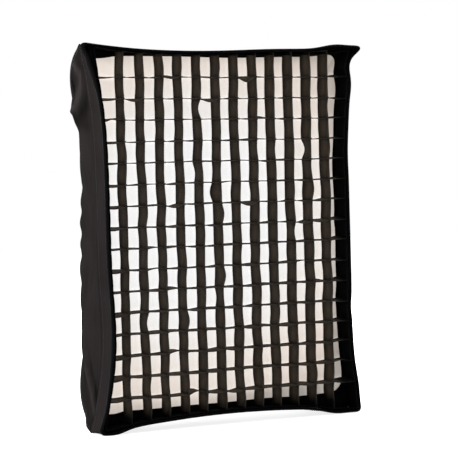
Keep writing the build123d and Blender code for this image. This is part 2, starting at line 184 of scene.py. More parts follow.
def rounded(loop, corners, radius):
    """A closed loop of (x, z) points with its corners rounded off within that distance."""
    if radius < 1e-5:
        return loop
    step = np.linalg.norm(np.roll(loop, -1, 0) - loop, axis=1)
    total = step.sum()
    s = np.concatenate([[0], np.cumsum(step)[:-1]])
    wrapped = np.concatenate([s - total, s, s + total])
    out = loop.copy()
    tripled = np.concatenate([loop, loop, loop])

    def at(d):
        return np.array([np.interp(d, wrapped, tripled[:, i]) for i in (0, 1)])

    for c in corners:
        delta = (s - s[c] + total / 2) % total - total / 2
        near = np.abs(delta) < radius
        a, b, t = at(s[c] - radius), at(s[c] + radius), ((delta[near] + radius) / (2 * radius))[:, None]
        out[near] = (1 - t) ** 2 * a + 2 * t * (1 - t) * loop[c] + t**2 * b
    return out


LOOP_U = spread(97)[:-1]


def side_u(side):
    """Places along a side, in the order of a loop that runs clockwise from the top left corner."""
    return LOOP_U if side in ("top", "left") else -LOOP_U


def rim_loop(depth, inset, radius=0.0):
    """The closed outline of the front at a depth, clockwise from the top left corner, as (x, z)."""
    n = len(LOOP_U)
    loop = np.concatenate([skin(side, side_u(side), depth, inset)[:, [0, 2]] for side in LOOP_SIDES])
    return rounded(loop, [0, n, 2 * n, 3 * n], radius)


# the hem's soft corners: where, how far x and z move there, and how far along x and z that reaches
EARS = ((0.318, 0.402, 0.022, -0.001, 0.030, 0.022), (0.262, 0.400, 0.000, 0.006, 0.040, 0.050),
        (-0.314, 0.395, -0.011, 0.001, 0.040, 0.065), (-0.322, 0.404, -0.011, 0.001, 0.030, 0.020),
        (-0.314, -0.403, -0.005, 0.000, 0.040, 0.030), (-0.280, -0.400, 0.000, -0.006, 0.028, 0.030),
        (0.250, -0.400, 0.000, -0.003, 0.045, 0.030))


def ears(loop, depth):
    """The hem's soft corners stand out a little past the rim."""
    f = smooth((depth - 0.425) / 0.045)
    x, z = loop[..., 0], loop[..., 1]
    for cx, cz, dx, dz, wide, high in EARS:
        w = f * hump(x, cx, wide) * hump(z, cz, high)
        x, z = x + dx * w, z + dz * w
    return np.stack([x, z], -1)


FOLD_SEEDS = {"left": 11, "right": 23, "top": 37, "bottom": 51}


def folds(side, u, depth):
    """How far the shell's cloth stands off its plain shape, outwards."""
    seed = FOLD_SEEDS[side]
    cx, cz, _, _ = outline(depth)
    far = cx if side in ("top", "bottom") else cz
    along = u * far
    s = (depth - REAR_DEPTH) / RUN
    edge = 1 - np.abs(u) ** 8
    long = 0.0030 * noise(along, depth * 0.25, seed, 0.085) * smooth(s / 0.3)
    slow = 0.0040 * noise(along, depth, seed + 1, 0.26) * smooth(s / 0.25)
    pleats = 0.0022 * np.sin(np.arcsin(np.clip(u, -1, 1)) * 26 + seed) * window(s, 0, 0.03, 0.05, 0.40)
    total = (long + slow) * edge + pleats * (1 - np.abs(u) ** 12)
    for end in (-1, 1):                        # folds that fan out from a corner, and puckers along its seam
        off, ahead = np.abs(end * far - along), SHELL_END - depth
        r = np.hypot(off, ahead) + 1e-4
        fan = np.sin(np.arctan2(off, ahead + 0.02) * 9 + seed + end) * 0.0045 * smooth(r / 0.05) * hump(r, 0, 0.19)
        pucker = 0.0007 * np.sin(depth * 420 + seed) * np.exp(-off / 0.018)
        total = total + fan * edge + pucker * smooth(s / 0.05) * smooth(off / 0.004)
    if side == "left":
        total = total + left_folds(along, depth) * edge
    if side in ("left", "right"):              # room for the pockets over the rods' tips
        over_tip = hump(depth, 0.397, 0.020) * hump(np.abs(along), cz - 0.0142, 0.017)
        total = total * (1 - over_tip) + 0.0034 * over_tip
    return np.where(total < 0, total * smooth((0.418 - depth) / 0.045), total)


def low_crease(z):
    """The depth of the crease that runs down to the left side's lower front corner."""
    return 0.318 + 1.2 * np.maximum(0, -z - 0.285)


def left_folds(z, depth):
    """The left side's slack: a dent with a raised lip above, a drawn-in middle, and a crease below."""
    off = np.hypot((depth - 0.262) / 0.074, (z - 0.312) / 0.042)
    dent = -0.015 * hump(off, 0, 0.60)
    lip_of_dent = 0.0100 * hump(off, 1.0, 0.24) * smooth((depth - 0.225) / 0.05)
    lobe = 0.0085 * hump(depth, 0.225, 0.070) * hump(z, 0.283, 0.032)
    middle = (0.0055 + 0.0070 * hump(z, 0.010, 0.090)) * smooth((0.250 - z) / 0.026) * smooth((z + 0.165) / 0.050)
    drawn = (middle + 0.003 * hump(z, -0.29, 0.05)) * window(depth, 0.032, 0.045, 0.355, 0.055)
    ridge = 0.0075 * hump(depth, low_crease(z), 0.016) * smooth((-z - 0.235) / 0.030) * smooth((z + 0.372) / 0.025)
    hollow = -0.0090 * hump(depth, low_crease(z) + 0.030, 0.017) * hump(z, -0.285, 0.038)
    return dent + lip_of_dent + lobe - drawn + ridge + hollow


def left_painted_shading(z, depth):
    """Painted light and shade on the left side's cloth: paler on its folds, a painted highlight, and darker in their
    hollows and towards the panel's top and bottom, painted shade.
    """
    off = np.hypot((depth - 0.270) / 0.095, (z - 0.326) / 0.052)
    front = smooth((depth - 0.200) / 0.04)
    pale = hump(off, 1.0, 0.20) * front
    hollow = hump(depth, 0.275, 0.055) * hump(z, 0.326, 0.032)
    outer = hump(off, 1.50, 0.26) * hump(z, 0.272, 0.060) * front
    low, span = low_crease(z), smooth((-z - 0.255) / 0.030) * smooth((z + 0.385) / 0.020)
    ridge = hump(depth, low, 0.014) * span
    beside = (hump(depth, low + 0.040, 0.024) + 0.6 * hump(depth, low - 0.045, 0.030)) * span
    ends = 0.45 * smooth((-z - 0.255) / 0.09) + 0.30 * smooth((z - 0.325) / 0.05) * (1 - pale)
    dark = np.maximum.reduce([0.95 * hollow, 0.70 * outer, 0.90 * beside, ends * (1 - 0.8 * ridge)])
    return 0.5 * pale + 0.35 * ridge - dark * (1 - 0.6 * pale)


# ------------------------------------------------------------------ mesh making
def grid_faces(rows, cols, closed=False):
    """Quads over a grid of points, as vertex numbers and as numbers into a grid of UVs one column wider if closed."""
    r, c = np.meshgrid(np.arange(rows - 1), np.arange(cols if closed else cols - 1), indexing="ij")
    wide = cols + 1 if closed else cols
    corners = ((r, c), (r, c + 1), (r + 1, c + 1), (r + 1, c))
    return (np.stack([(i * cols + j % cols).ravel() for i, j in corners], 1),
            np.stack([(i * wide + j).ravel() for i, j in corners], 1))


def lay_uv(grid, closed=False):
    """UVs in metres: the lengths along the middle row and the middle column."""
    rows, cols = grid.shape[:2]
    row = grid[rows // 2]
    row = np.concatenate([row, row[:1]]) if closed else row
    along = np.concatenate([[0], np.cumsum(np.linalg.norm(np.diff(row, axis=0), axis=1))])
    down = np.concatenate([[0], np.cumsum(np.linalg.norm(np.diff(grid[:, cols // 3], axis=0), axis=1))])
    a, d = np.meshgrid(along, down)
    return np.stack([a, d], -1).reshape(-1, 2)


def new_mesh(name, verts, faces, uv=None, face_material=None, materials=(), attributes=None):
    me = bpy.data.meshes.new(name)
    me.from_pydata(np.asarray(verts, float).tolist(), [], [list(map(int, f)) for f in faces])
    if uv is not None:
        layer = me.uv_layers.new(name="cloth")
        layer.data.foreach_set("uv", np.asarray(uv, np.float32).ravel())
    for m in materials:
        me.materials.append(m)
    if face_material is not None:
        me.polygons.foreach_set("material_index", np.asarray(face_material, np.int32))
    for key, values in (attributes or {}).items():
        me.attributes.new(key, "FLOAT", "POINT").data.foreach_set("value", np.asarray(values, np.float32))
    me.polygons.foreach_set("use_smooth", np.ones(len(me.polygons), bool))
    me.update()
    ob = bpy.data.objects.new(name, me)
    bpy.context.scene.collection.objects.link(ob)
    return ob


def finish_piece(ob, body, replaces=()):
    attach(ob, body)
    if replaces:
        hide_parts(*replaces)
    return ob


def cloth(name, grid, thickness, materials, body, replaces=(), closed=False, keep=None, toward=None,
          attributes=None):
    """A sheet of cloth over a grid of points: two layers and their edge, as one closed mesh.
    The given points are the outer layer, which faces toward, a direction, or away from the axis."""
    rows, cols = grid.shape[:2]
    flat = grid.reshape(-1, 3)
    quads, uv_at = grid_faces(rows, cols, closed)
    uv = lay_uv(grid, closed)
    if keep is not None:
        quads, uv_at = quads[keep.ravel()], uv_at[keep.ravel()]
    n = np.cross(flat[quads[:, 2]] - flat[quads[:, 0]], flat[quads[:, 3]] - flat[quads[:, 1]])
    ref = flat[quads].mean(1) * [1, 0, 1] if toward is None else np.array(toward, float)[None]
    if (n * ref).sum() < 0:
        quads, uv_at, n = quads[:, ::-1], uv_at[:, ::-1], -n
    vn = np.zeros_like(flat)
    for k in range(4):
        np.add.at(vn, quads[:, k], n)
    vn /= np.maximum(np.linalg.norm(vn, axis=1, keepdims=True), 1e-15)
    back = flat - vn * np.asarray(thickness).reshape(-1, 1)
    used = np.unique(quads)
    renumber = np.full(len(flat), -1)
    renumber[used] = np.arange(len(used))
    q, m = renumber[quads], len(used)
    edges = np.concatenate([q[:, [k, (k + 1) % 4]] for k in range(4)])
    edge_uv = np.concatenate([uv_at[:, [k, (k + 1) % 4]] for k in range(4)])
    lone = ~np.isin(edges[:, 0].astype(np.int64) * m + edges[:, 1], edges[:, 1].astype(np.int64) * m + edges[:, 0])
    rim, rim_uv = edges[lone], edge_uv[lone]
    rim_faces = np.stack([rim[:, 1], rim[:, 0], rim[:, 0] + m, rim[:, 1] + m], 1)
    faces = np.concatenate([q, q[:, ::-1] + m, rim_faces])
    uvs = np.concatenate([uv[uv_at], uv[uv_at[:, ::-1]], uv[rim_uv[:, [1, 0, 0, 1]]]]).reshape(-1, 2)
    which = np.concatenate([np.zeros(len(q)), np.full(len(q), len(materials) - 1 if len(materials) > 1 else 0),
                            np.zeros(len(rim_faces))])
    both = {k: np.tile(np.asarray(v).reshape(-1)[used], 2) for k, v in (attributes or {}).items()}
    ob = new_mesh(name, np.concatenate([flat[used], back[used]]), faces, uvs, which, materials, both)
    return finish_piece(ob, body, replaces)


def band(name, loops, materials, body, replaces=()):
    """A closed ring: loops is (n points round the section, n points along, 3), closed both ways."""
    grid = np.asarray(loops)
    rows, cols = grid.shape[:2]
    quads, uv_at = grid_faces(rows + 1, cols, True)
    uv = lay_uv(np.concatenate([grid, grid[:1]]), True)
    ob = new_mesh(name, grid.reshape(-1, 3), quads % (rows * cols), uv[uv_at].reshape(-1, 2), None, materials)
    outward(ob)
    return finish_piece(ob, body, replaces)


def outward(ob):
    bm = bmesh.new()
    bm.from_mesh(ob.data)
    bmesh.ops.recalc_face_normals(bm, faces=bm.faces)
    bm.to_mesh(ob.data)
    bm.free()


def join_meshes(name, parts, materials, body, replaces=()):
    """One piece out of several (vertices, faces) parts."""
    verts, faces, base = [], [], 0
    for v, f in parts:
        verts.append(np.asarray(v, float).reshape(-1, 3))
        faces += [[int(i) + base for i in face] for face in f]
        base += len(verts[-1])
    ob = new_mesh(name, np.concatenate(verts), faces, None, None, materials)
    outward(ob)
    return finish_piece(ob, body, replaces)


def tube_faces(rings, sides):
    """Faces that join rings of points into a tube, and close its two ends."""
    f = [[i * sides + j, i * sides + (j + 1) % sides, (i + 1) * sides + (j + 1) % sides, (i + 1) * sides + j]
         for i in range(rings - 1) for j in range(sides)]
    return f + [list(range(sides))[::-1], list(range((rings - 1) * sides, rings * sides))]


def thread_bar(a, b, up, radius=0.00045, sides=6):
    """One stitch: a short rounded bar from a to b that bows up a little in its middle."""
    a, b, up = (np.asarray(v, float) for v in (a, b, up))
    d = b - a
    across = np.cross(d, up)
    across /= max(np.linalg.norm(across), 1e-12)
    rings = []
    for t, r in ((0.0, 0.35), (0.15, 0.9), (0.5, 1.0), (0.85, 0.9), (1.0, 0.35)):
        centre = a + d * t + up * radius * 1.1 * math.sin(math.pi * t)
        rings.append([centre + (across * math.cos(w) + up * math.sin(w)) * radius * r
                      for w in np.arange(sides) * math.tau / sides])
    return np.array(rings).reshape(-1, 3), tube_faces(len(rings), sides)


def stitch_line(path, up, pitch=0.0052, length=0.0036, radius=0.0004, closed=False):
    """Stitches along a path of points, with the matching outward directions."""
    path, up = np.asarray(path, float), np.asarray(up, float)
    if closed:
        path, up = np.concatenate([path, path[:1]]), np.concatenate([up, up[:1]])
    s = np.concatenate([[0], np.cumsum(np.linalg.norm(np.diff(path, axis=0), axis=1))])

    def at(values, d):
        return np.array([np.interp(d, s, values[:, i]) for i in range(3)])

    parts = []
    for d in np.arange(pitch / 2, s[-1] - length, pitch):
        n = at(up, d + length / 2)
        parts.append(thread_bar(at(path, d), at(path, d + length), n / max(np.linalg.norm(n), 1e-9), radius))
    return parts


def tube(path, radius, sides=8):
    """A closed tube along points, with a radius at each of them."""
    t = np.gradient(path, axis=0)
    t /= np.linalg.norm(t, axis=1, keepdims=True)
    a = np.cross(t, (0.0, -1.0, 0.0))
    a /= np.maximum(np.linalg.norm(a, axis=1, keepdims=True), 1e-9)
    b = np.cross(t, a)
    w = (np.arange(sides) * math.tau / sides)[None, :, None]
    v = path[:, None] + radius[:, None, None] * (a[:, None] * np.cos(w) + b[:, None] * np.sin(w))
    return v.reshape(-1, 3), tube_faces(len(path), sides)


# ------------------------------------------------------------------ materials
class Nodes:
    """A material's node tree, with a short way of adding nodes to it."""

    def __init__(self, name):
        self.mat = bpy.data.materials.new(name)
        self.mat.use_nodes = True
        self.tree = self.mat.node_tree
        self.bsdf = self.tree.nodes["Principled BSDF"]
        self.object = self.add("ShaderNodeTexCoord").outputs["Object"]

    def add(self, kind, links=None, **values):
        node = self.tree.nodes.new(kind)
        for key, value in values.items():
            setattr(node, key, value)
        for key, value in (links or {}).items():
            socket = node.inputs[key]
            if isinstance(value, bpy.types.NodeSocket):
                self.tree.links.new(value, socket)
            else:
                socket.default_value = value
        return node

    def math(self, operation, a, b=0.0, c=0.0):
        return self.add("ShaderNodeMath", {0: a, 1: b, 2: c}, operation=operation).outputs[0]

    def mul(self, a, b):
        return self.math("MULTIPLY", a, b)

    def attribute(self, name):
        return self.add("ShaderNodeAttribute", attribute_name=name).outputs["Fac"]

    def axes(self, vector=None):
        return self.add("ShaderNodeSeparateXYZ", {"Vector": vector or self.object}).outputs[:3]

    def between(self, value, low, high, start=0.0, end=1.0):
        """A value from start to end carried over to low to high."""
        return self.add("ShaderNodeMapRange", {"Value": value, 1: start, 2: end, 3: low, 4: high}).outputs[0]

    def noise(self, scale, detail=3.0, stretch=None):
        vector = self.object
        if stretch:
            vector = self.add("ShaderNodeMapping", {"Vector": vector, "Scale": stretch}).outputs[0]
        return self.add("ShaderNodeTexNoise", {"Vector": vector, "Scale": scale, "Detail": detail}).outputs["Fac"]

    def ramp(self, fac, *stops):
        node = self.add("ShaderNodeValToRGB", {"Fac": fac})
        while len(node.color_ramp.elements) < len(stops):
            node.color_ramp.elements.new(0.5)
        for element, (place, colour) in zip(node.color_ramp.elements, stops):
            element.position = place
            element.color = (*colour, 1) if len(colour) == 3 else colour
        return node.outputs["Color"]

    def mix(self, fac, a, b):
        node = self.add("ShaderNodeMix", {"Factor": fac}, data_type="RGBA")
        for socket, value in ((node.inputs[6], a), (node.inputs[7], b)):
            if isinstance(value, bpy.types.NodeSocket):
                self.tree.links.new(value, socket)
            else:
                socket.default_value = (*value, 1)
        return node.outputs[2]

    def weave(self, pitch):
        """Height of a plain weave in the piece's own UVs, which are in metres."""
        u, v, _ = self.axes(self.add("ShaderNodeUVMap", uv_map="cloth").outputs[0])
        u, v = (self.math("SINE", self.mul(w, math.pi / pitch)) for w in (u, v))
        return self.math("MULTIPLY_ADD", self.mul(u, v), 0.5, 0.5)

    def set(self, **values):
        for key, value in values.items():
            socket = self.bsdf.inputs[key.replace("_", " ")]
            if isinstance(value, bpy.types.NodeSocket):
                self.tree.links.new(value, socket)
            else:
                socket.default_value = (*value, 1) if isinstance(value, tuple) and len(value) == 3 else value

    def bump(self, height, strength, distance, normal=None):
        links = {"Height": height, "Strength": strength, "Distance": distance}
        if normal is not None:
            links["Normal"] = normal
        return self.add("ShaderNodeBump", links).outputs[0]


def shade(colour, times, plus=0.0):
    return tuple(min(1, times * c + plus) for c in colour)


def woven(name, dark, light, pitch, rough, specular=0.2, depth=0.0003, fuzz=0.0, sheen=0.0, metallic=0.0):
    """Woven cloth: thread pattern, drifting colour, uneven gloss and a fine bump; a per-point attribute, if the piece
    has one, paints light on it above 0, making it paler, and shade below, making it darker."""
    n = Nodes(name)
    weave = n.weave(pitch)
    drift = n.noise(7.0, 4.0)
    colour = n.ramp(drift, (0.3, dark), (0.7, light))
    streaks = n.noise(110.0, 3.0, stretch=(1, 1, 0.05))
    colour = n.mix(n.mul(streaks, 0.5), colour, shade(dark, 0.35))
    # painted highlight where that attribute is above 0, painted shade where it is below
    painted_shading = n.attribute("painted_shading")
    colour = n.mix(n.math("MAXIMUM", painted_shading, 0.0), colour, shade(light, 1.9))
    colour = n.mix(n.math("MAXIMUM", n.mul(painted_shading, -1.0), 0.0), colour, shade(dark, 0.12))
    colour = n.mix(n.mul(weave, 0.35), colour, shade(dark, 0.55))
    dust = n.mul(n.math("GREATER_THAN", n.noise(900.0, 2.0), 0.71), 0.25 + fuzz)
    colour = n.mix(dust, colour, shade(light, 2.2, 0.004))
    n.set(Base_Color=colour, Metallic=metallic, Specular_IOR_Level=specular, Roughness=n.between(drift, *rough))
    if sheen:
        n.set(Sheen_Weight=sheen, Sheen_Roughness=0.45)
    n.set(Normal=n.bump(weave, 0.5, depth, n.bump(n.noise(60.0, 3.0), 0.25, 0.002)))
    return n.mat


def metal(name, base, rough=0.35, turned=False, wear=0.15, metallic=1.0):
    """Metal with fine tool marks, or marks turned round the axis, and uneven gloss."""
    n = Nodes(name)
    patch = n.noise(40.0, 4.0)
    if turned:
        x, _, z = n.axes()
        radius = n.math("SQRT", n.math("ADD", n.math("POWER", x, 2.0), n.math("POWER", z, 2.0)))
        marks = n.add("ShaderNodeTexNoise", {"W": n.mul(radius, 2600.0), "Scale": 1.0, "Detail": 2.0},
                      noise_dimensions="1D").outputs["Fac"]
    else:
        marks = n.noise(300.0, 2.0, stretch=(1, 0.06, 1))
    colour = n.mix(patch, shade(base, 1 - wear), shade(base, 1 + wear))
    scuff = n.mul(n.math("GREATER_THAN", n.noise(120.0, 5.0), 0.66), 0.35)
    colour = n.mix(scuff, colour, shade(base, 1.5, 0.03))
    n.set(Base_Color=colour, Metallic=metallic, Roughness=n.between(marks, rough * 0.75, rough * 1.3),
          Normal=n.bump(marks, 0.25, 0.0002))
    return n.mat


def moulded(name, base, rough=0.5, specular=0.4):
    """Moulded plastic or rubber with a fine grain."""
    n = Nodes(name)
    grainy = n.noise(1400.0, 2.0)
    patch = n.noise(30.0, 4.0)
    n.set(Base_Color=n.mix(patch, shade(base, 0.8), shade(base, 1.25)), Specular_IOR_Level=specular,
          Roughness=n.between(patch, rough - 0.08, rough + 0.1), Normal=n.bump(grainy, 0.3, 0.0003))
    return n.mat


# cloths: name, darkest and palest colour, thread pitch in metres, gloss
nylon = woven("black_nylon", (0.0078, 0.0066, 0.0067), (0.0120, 0.0102, 0.0103), 0.0009, (0.55, 0.70), 0.0)
silver = woven("silver_lining", (0.52, 0.53, 0.55), (0.70, 0.71, 0.73), 0.0012, (0.28, 0.42), 0.5, metallic=0.75)
lip_inside = woven("lip_lining", (0.0009, 0.0010, 0.0011), (0.0022, 0.0023, 0.0025), 0.0009, (0.8, 0.95), 0.02)
hem_tape = woven("hem_tape", (0.0007, 0.0007, 0.0008), (0.0016, 0.0016, 0.0018), 0.0013, (0.8, 0.95), 0.01)
webbing = woven("webbing", (0.0045, 0.0044, 0.0043), (0.010, 0.0098, 0.0095), 0.0016, (0.6, 0.8), 0.06, 0.0006)
loop_tape = woven("loop_tape", (0.0012, 0.0013, 0.0014), (0.0028, 0.0028, 0.0031), 0.0020, (0.85, 1.0), 0.02, 0.0008,
                  fuzz=0.3, sheen=0.02)
elastic = woven("elastic_collar", (0.005, 0.005, 0.005), (0.011, 0.011, 0.011), 0.0018, (0.6, 0.8), 0.06, 0.0006)
net = woven("vent_net", (0.008, 0.008, 0.008), (0.02, 0.02, 0.02), 0.0008, (0.5, 0.7))
thread = woven("thread", (0.006, 0.006, 0.006), (0.014, 0.0135, 0.013), 0.0006, (0.5, 0.7), 0.15)
white_thread = woven("white_binding", (0.55, 0.54, 0.50), (0.72, 0.71, 0.67), 0.0011, (0.7, 0.85))
baffle_cloth = woven("baffle_cloth", (0.74, 0.74, 0.73), (0.84, 0.84, 0.83), 0.0008, (0.7, 0.9))


def strip_material():
    """The grid's cloth: charcoal brown, with painted light along the middle of each strip and a darkening towards its
    rear and front edges that is partly the folded hems and partly painted shade.
    """
    n = Nodes("grid_cloth")
    weave = n.weave(0.0010)
    body = n.ramp(n.attribute("across"),
                  (0.0, (0.010, 0.008, 0.006)), (0.10, (0.022, 0.017, 0.012)), (0.16, (0.012, 0.009, 0.007)),
                  (0.22, (0.046, 0.034, 0.024)), (0.50, (0.078, 0.058, 0.041)), (0.80, (0.044, 0.033, 0.023)),
                  (0.86, (0.012, 0.009, 0.007)), (0.92, (0.024, 0.018, 0.013)), (1.0, (0.010, 0.008, 0.006)))
    drift = n.noise(22.0, 4.0)
    colour = n.mix(n.mul(drift, 0.50), body, (0.020, 0.0165, 0.013))
    # darker where the strips cross: partly the sewn joint, partly painted shade
    colour = n.mix(n.mul(n.attribute("crossing_joint_and_shade"), 0.75), colour, (0.004, 0.0035, 0.003))
    colour = n.mix(n.mul(weave, 0.25), colour, (0.014, 0.011, 0.009))
    # painted shade: the strips turn near black towards the grid's right-hand end and its bottom
    x, _, z = n.axes()
    far = n.math("MAXIMUM", n.mul(n.math("SUBTRACT", x, 0.258), 60.0), n.mul(n.math("SUBTRACT", -0.350, z), 40.0))
    colour = n.mix(n.add("ShaderNodeClamp", {"Value": far}).outputs[0], colour, (0.0009, 0.0008, 0.0008))
    n.set(Base_Color=colour, Roughness=n.between(drift, 0.62, 0.85), Specular_IOR_Level=0.06,
          Normal=n.bump(weave, 0.5, 0.0003, n.bump(n.noise(130.0, 3.0), 0.35, 0.0015)))
    return n.mat


def diffuser_material():
    """White cloth that glows with painted light, its own emission standing in for the lamp behind it: whitest left of
    the middle, warmer and dimmer towards its edges.
    """
    n = Nodes("diffuser_cloth")
    x, _, z = n.axes()
    drift = n.mul(n.math("SUBTRACT", n.noise(9.0, 3.0), 0.5), 0.16)
    dx = n.math("DIVIDE", n.math("ADD", x, 0.06), 0.52)
    dz = n.math("DIVIDE", n.math("SUBTRACT", z, 0.02), 0.46)
    away = n.math("ADD", n.math("SQRT", n.math("ADD", n.math("POWER", dx, 2.0), n.math("POWER", dz, 2.0))), drift)
    glow = n.ramp(away, (0.0, (0.97, 0.97, 0.975)), (0.40, (0.96, 0.955, 0.95)), (0.62, (0.88, 0.82, 0.765)),
                  (0.80, (0.80, 0.70, 0.62)), (1.0, (0.50, 0.42, 0.345)))
    # painted shade: the glow dims to a dull brown where the edge attribute is set
    glow = n.mix(n.attribute("edge"), glow, (0.20, 0.175, 0.15))
    weave = n.weave(0.0008)
    # the emission is painted light: the cloth glows though no lamp is behind it
    n.set(Base_Color=n.mix(n.mul(weave, 0.1), (0.42, 0.41, 0.40), (0.34, 0.33, 0.32)),
          Roughness=n.between(drift, 0.8, 0.95, -0.08, 0.08), Specular_IOR_Level=0.1,
          Emission_Color=glow, Emission_Strength=0.81,
          Normal=n.bump(weave, 0.4, 0.0002, n.bump(n.noise(45.0, 3.0), 0.3, 0.002)))
    return n.mat


grid_cloth = strip_material()
diffuser_white = diffuser_material()
adapter_metal = metal("adapter_aluminium", (0.17, 0.17, 0.175), 0.40, turned=True)
HARD_PARTS = (                                 # the start of a CAD node's name and its material; the first match counts
    ("speedring_body", metal("ring_aluminium", (0.045, 0.045, 0.047), 0.42, turned=True, wear=0.2, metallic=0.7)),
    ("adapter_", adapter_metal),
    ("bayonet_lugs", adapter_metal),
    ("rod_ferrule", metal("ferrule_steel", (0.60, 0.60, 0.60), 0.25)),
    ("rod_tip", moulded("rod_tip_rubber", (0.012, 0.012, 0.012), 0.7, 0.3)),
    ("rod_socket", metal("socket_casting", (0.16, 0.16, 0.165), 0.55, metallic=0.8)),
    ("rod_", metal("rod_steel", (0.48, 0.48, 0.47), 0.28)),
    ("socket_screws", metal("screw_steel", (0.10, 0.10, 0.105), 0.35)),
    ("baffle_snaps", metal("snap_steel", (0.60, 0.58, 0.54), 0.3)),
    ("clamp_pad", metal("pad_brass", (0.72, 0.52, 0.22), 0.3)),
    ("clamp_knob", moulded("knob_plastic", (0.012, 0.012, 0.013), 0.45)),
)
for node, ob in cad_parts.items():
    material = next((m for start, m in HARD_PARTS if node.startswith(start)), None)
    if material:
        if not ob.material_slots:
            ob.data.materials.append(None)
        for slot in ob.material_slots:
            slot.material = material

# ------------------------------------------------------------------ shell
SHELL_S = np.concatenate([np.linspace(0, 0.12, 10)[:-1], np.linspace(0.12, 1, 56)])


def shell_depths():
    """Depths of the shell's rows of points, evenly spaced along the seam."""
    slope = SLOPE_REAR + (SLOPE_FRONT - SLOPE_REAR) * SHELL_S
    return SEAM_DEPTH - SEAM_RADIUS * np.sin(slope)


def raised(grid, height):
    """A grid of points moved along its outward normals."""
    n = normals_of(grid)
    if (n * grid * [1, 0, 1]).sum() < 0:
        n = -n
    return grid + n * np.asarray(height)[..., None]


def panel(side, depths=None, us=None):
    """The outer face of a side of the shell, all of it or at the given depths and places across."""
    u, d = np.meshgrid(spread(105) if us is None else us, shell_depths() if depths is None else depths)
    return raised(skin(side, u, d), folds(side, u, d))


def in_window(points, half_width, low, high):
    """Which faces of a grid of points are inside a vent's opening."""
    x, z = np.abs((points[:-1, :-1] + points[1:, 1:]) / 2)[..., [0, 2]].transpose(2, 0, 1)
    return (x < half_width) & (z > low) & (z < high)


WINDOW = (0.040, 0.130, 0.166)            # the vents: half width, lowest and highest z
for side in ("left", "right", "top", "bottom"):
    points = panel(side)
    keep = None
    if side in ("top", "bottom"):
        keep = ~(in_window(points, *WINDOW) & ((points[:-1, :-1] + points[1:, 1:])[..., 1] / 2 > -0.12))
    # painted light and shade on the left side: its cloth is made paler on the folds and darker in their hollows; the
    # other sides get none
    painted_shading = left_painted_shading(points[..., 2], -points[..., 1]) if side == "left" else 0 * points[..., 0]
    piece = cloth(f"panel_{side}", points, CLOTH["panel"], [nylon, silver], "housing",
                  [f"shell_{side}"], keep=keep, attributes={"painted_shading": painted_shading})

# ------------------------------------------------------------------ lip, hem and tapes
LIP_DEPTHS = np.array([0.4135, 0.418, 0.424, 0.431, 0.438, 0.445, 0.452, 0.458, 0.463, 0.467])


def lip_surface():
    """The skirt's outer face: it carries the shell's folds forward and lets them fade."""
    rows = []
    for d in LIP_DEPTHS:
        loop = rim_loop(d, 0.0, HEM_CORNER * smooth((d - SHELL_END) / 0.06))
        height = np.concatenate([folds(side, side_u(side), np.full(len(LOOP_U), min(d, SHELL_END)))
                                 for side in LOOP_SIDES])
        fade = 1 - 0.85 * smooth((d - SHELL_END) / (LIP_END - SHELL_END))
        height = np.maximum(height * fade, -0.001)
        tangent = np.roll(loop, -1, 0) - np.roll(loop, 1, 0)
        out = np.stack([-tangent[:, 1], tangent[:, 0]], 1)
        out /= np.linalg.norm(out, axis=1, keepdims=True)
        out *= np.sign((out * loop).sum(1, keepdims=True))
        loop = ears(loop + out * height[:, None], d)
        rows.append(at_depth(loop, d))
    return np.array(rows)


lip = cloth("lip_skirt", lip_surface(), CLOTH["lip"], [nylon, lip_inside], "housing",
            ["lip_left", "lip_right", "lip_top", "lip_bottom"], closed=True)

# the hem's section, as (back from the front edge, inset): a folded tape, pinched along its stitching
HEM = ((0.0005, 0.0006), (0.0000, 0.0014), (0.0006, 0.0026), (0.0022, 0.0034), (0.0050, 0.0036), (0.0080, 0.0030),
       (0.0098, 0.0028), (0.0112, 0.0026), (0.0120, 0.0018), (0.0120, 0.0000), (0.0112, -0.0007), (0.0098, -0.0005),
       (0.0080, -0.0011), (0.0050, -0.0018), (0.0024, -0.0013))
along = np.arange(4 * len(LOOP_U)) / (4 * len(LOOP_U))
hem_rows = []
for back, inset in HEM:
    wide = 1 + 0.35 * noise(along * RIM_LENGTH, 0, 5, 0.10) + 0.5 * hump(along % 0.25, 0, 0.016) \
        + 0.5 * hump(along % 0.25, 0.25, 0.016)
    loop = rim_loop(HEM_END - back, inset, HEM_CORNER)
    wide = np.clip(wide + 0.9 * hump(loop[:, 0], -0.314, 0.05) * smooth((loop[:, 1] - 0.26) / 0.10), 0.75, 1.9)
    loop = ears(loop, HEM_END - back)
    depth = HEM_END - back * wide + 0.0006 * noise(along * RIM_LENGTH, 1, 6, 0.05)
    hem_rows.append(at_depth(loop, np.minimum(depth, HEM_END + 0.001)))
hem_rows = np.array(hem_rows)
hem = band("front_hem", hem_rows, [hem_tape], "housing", ["lip_binding"])

for n, (rear, front) in enumerate(((0.417, 0.427), (0.440, 0.463)), 1):
    rows = []
    for d, inset in ((rear, 0.0029), (front, 0.0029), (front, 0.0039), (rear + (front - rear) / 2, 0.0041),
                     (rear, 0.0039)):
        loop = rim_loop(d, inset, 0.004)
        rows.append(at_depth(loop, d))
    tape = band(f"loop_tape_{n}", rows, [loop_tape], "housing", ["lip_loop_tape"])


# the stitching: two rows through the hem, one where the panels join the skirt, and one each side of every corner seam
def outward_in_section(points):
    """Directions away from the axis for points round the rim."""
    tangent = np.roll(points, -1, 0) - np.roll(points, 1, 0)
    out = np.stack([-tangent[:, 2], np.zeros(len(points)), tangent[:, 0]], 1)
    out *= np.sign((out * points).sum(1, keepdims=True))
    return out / np.linalg.norm(out, axis=1, keepdims=True)


